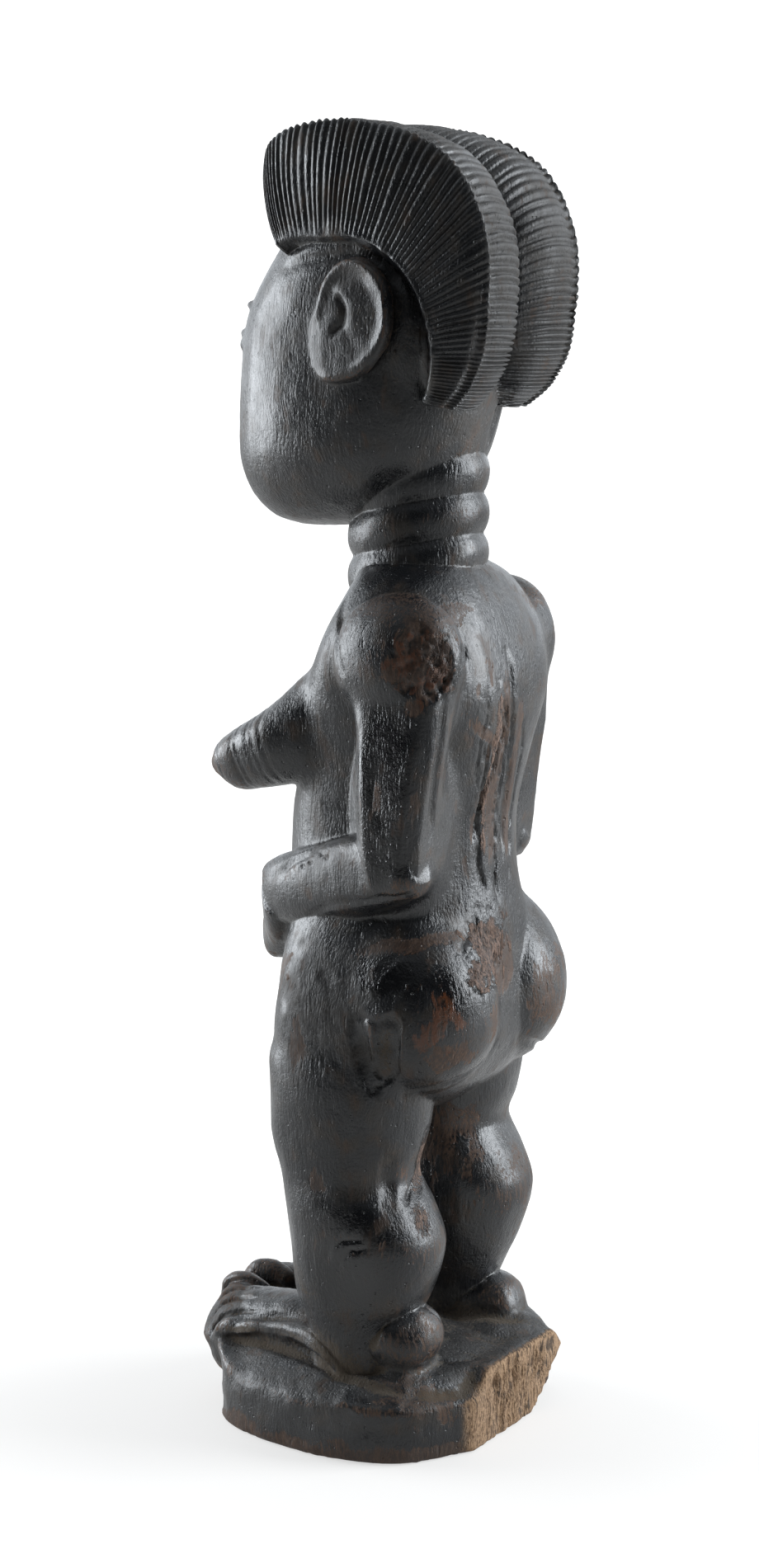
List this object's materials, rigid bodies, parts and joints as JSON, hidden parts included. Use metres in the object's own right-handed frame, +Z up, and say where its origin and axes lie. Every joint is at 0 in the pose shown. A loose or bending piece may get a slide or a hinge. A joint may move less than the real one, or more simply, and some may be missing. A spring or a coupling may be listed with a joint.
{
  "type": "female figure",
  "caption": "Standing carved wood female figure with ringed neck, crested hair, hands on the belly and a low rounded base.",
  "frame": {"origin": "on the floor under the figure, in the flat underside of the base, on the figure's middle line", "axes": "+Z up along the figure, which faces -Y, with its left side at +X"},
  "size_m": [0.0987, 0.1048, 0.381],
  "materials": {
    "dark_wood": "dense wood with a dark satin patina, rubbed brown on high places, bare and brown where it is split"
  },
  "bodies": {
    "root": {"female_figure": "dark_wood"}
  },
  "joints": []
}
